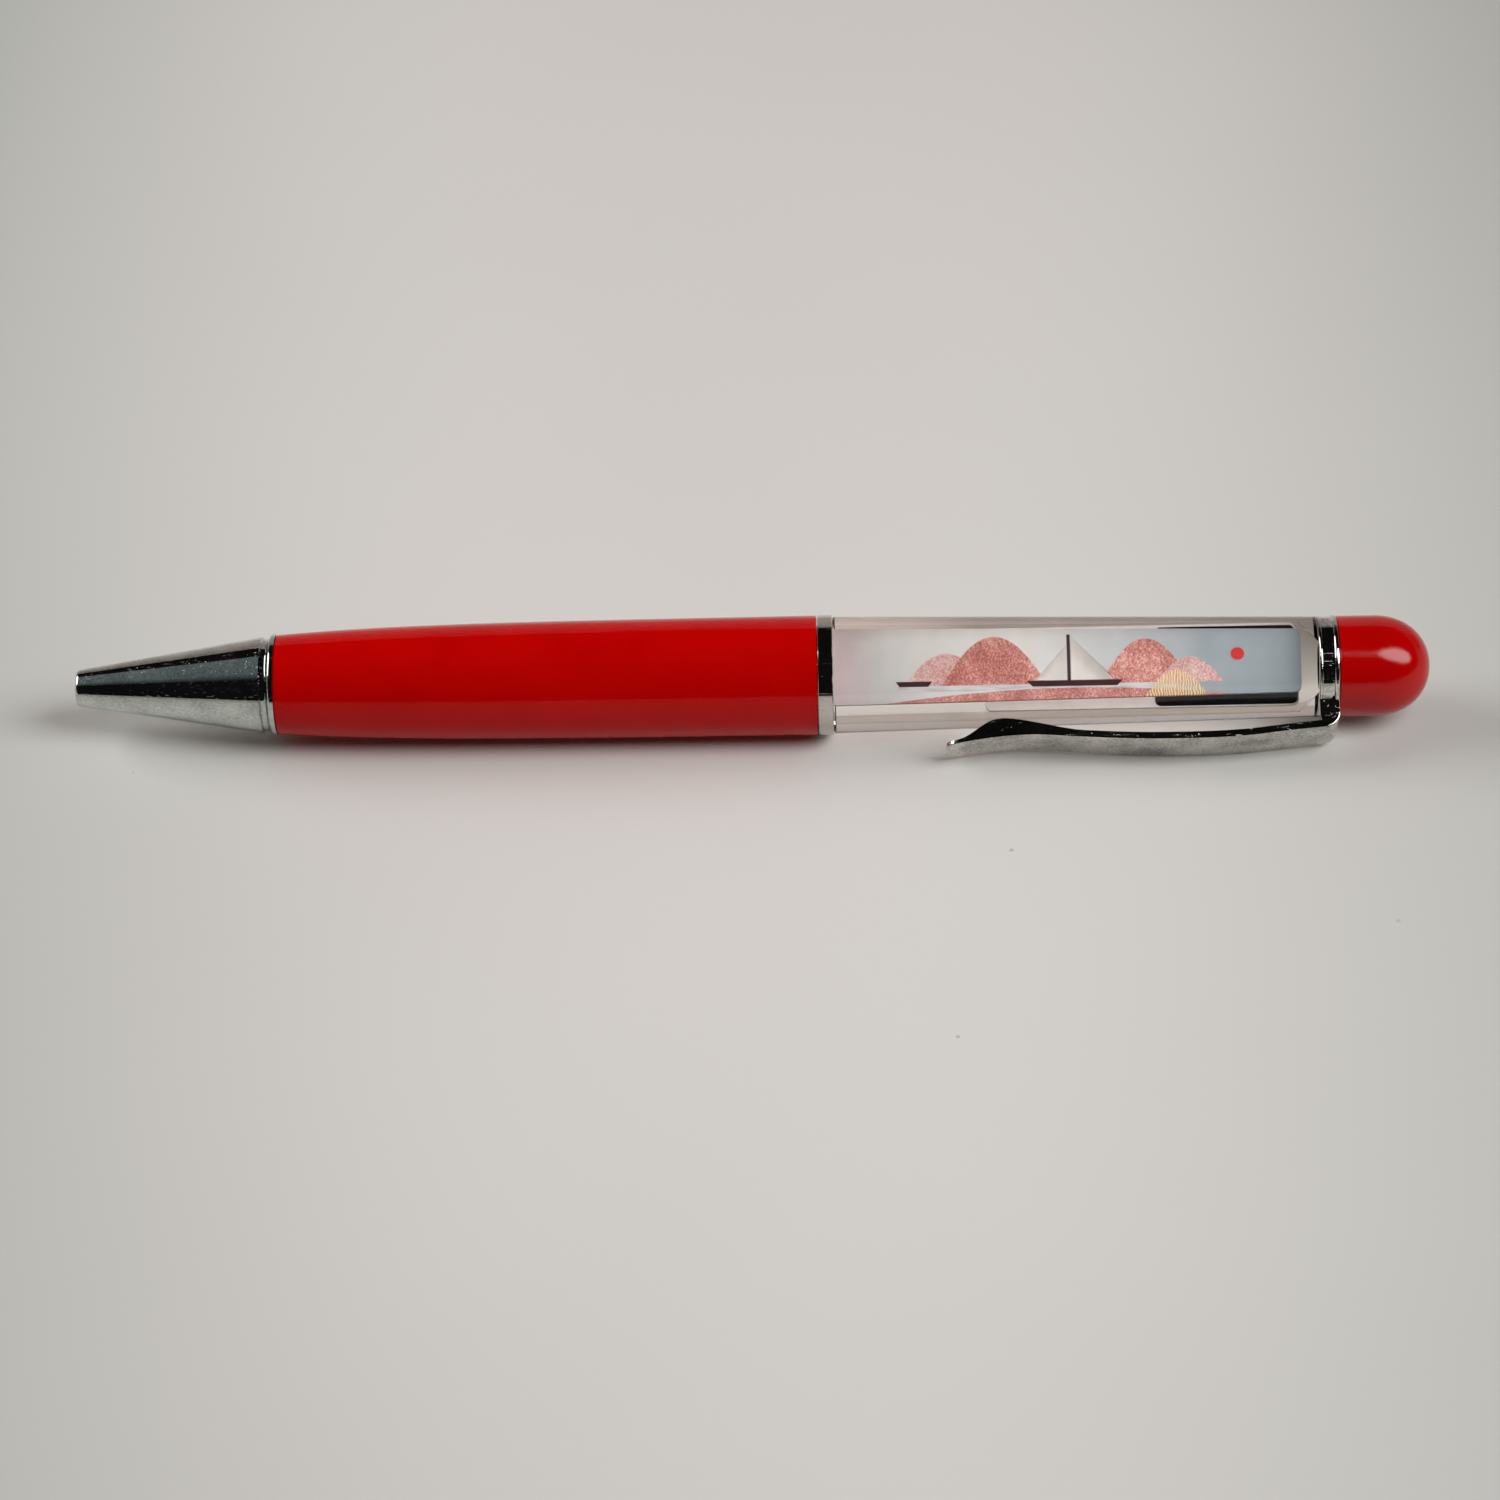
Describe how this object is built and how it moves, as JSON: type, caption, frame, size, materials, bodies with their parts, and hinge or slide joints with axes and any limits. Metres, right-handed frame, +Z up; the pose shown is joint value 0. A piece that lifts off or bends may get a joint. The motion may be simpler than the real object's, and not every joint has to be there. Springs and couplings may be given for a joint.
{
  "type": "floating picture ballpoint pen",
  "caption": "Twist-action ballpoint pen with a clear oil-filled upper barrel, a printed picture and a strip that slides behind it when the pen is tipped.",
  "frame": {"origin": "on the pen's axis, at the middle of the chrome centre ring", "axes": "+X along the pen towards the cap, +Z up as the pen lies on a table on its ring and clip; the clip points down towards -Y"},
  "size_m": [0.142, 0.0152, 0.0126],
  "materials": {
    "clear_acrylic": "polished",
    "clear_oil": "polished",
    "clear_film": "gloss",
    "printed_card": "satin",
    "red_plug_plastic": "satin",
    "black_rubber": "matte",
    "chrome_plate": "polished",
    "white_mechanism_plastic": "satin",
    "red_gloss_plastic": "gloss",
    "white_strip_plastic": "satin",
    "black_strip_film": "satin",
    "spring_steel": "satin",
    "black_mechanism_plastic": "satin",
    "refill_plastic": "satin",
    "refill_brass": "satin",
    "ball_steel": "polished",
    "black_ink": "gloss",
    "clear_grease": "gloss"
  },
  "bodies": {
    "upper": {"clear_barrel": "clear_acrylic", "chamber_oil": "clear_oil", "picture_film": "clear_film", "picture_print": "printed_card", "chamber_plug": "red_plug_plastic", "plug_seal": "black_rubber", "centre_ring": "chrome_plate", "cam_sleeve": "white_mechanism_plastic", "clip": "chrome_plate", "cap": "red_gloss_plastic"},
    "float": {"float_strip": "white_strip_plastic", "float_shade": "black_strip_film"},
    "lower": {"lower_barrel": "red_gloss_plastic", "nose_cone": "chrome_plate", "guide_tube": "white_mechanism_plastic", "return_spring": "spring_steel"},
    "refill": {"refill_carrier": "black_mechanism_plastic", "refill_tube": "refill_plastic", "refill_point": "refill_brass", "writing_ball": "ball_steel", "ink_column": "black_ink", "ink_grease": "clear_grease"}
  },
  "joints": [
    {"name": "barrel_twist", "type": "hinge", "parent": "upper", "child": "lower", "pos_m": [0, 0, 0], "axis": [1, 0, 0], "range_deg": [0, 180]},
    {"name": "point_slide", "type": "slide", "parent": "lower", "child": "refill", "axis": [-1, 0, 0], "range_m": [0, 0.005], "deforming": ["return_spring"]},
    {"name": "float_slide", "type": "slide", "parent": "upper", "child": "float", "axis": [-1, 0, 0], "range_m": [0, 0.016]}
  ],
  "couplings": [
    {"joint": "barrel_twist", "follows": "point_slide", "rad_per_m": 628.32}
  ]
}
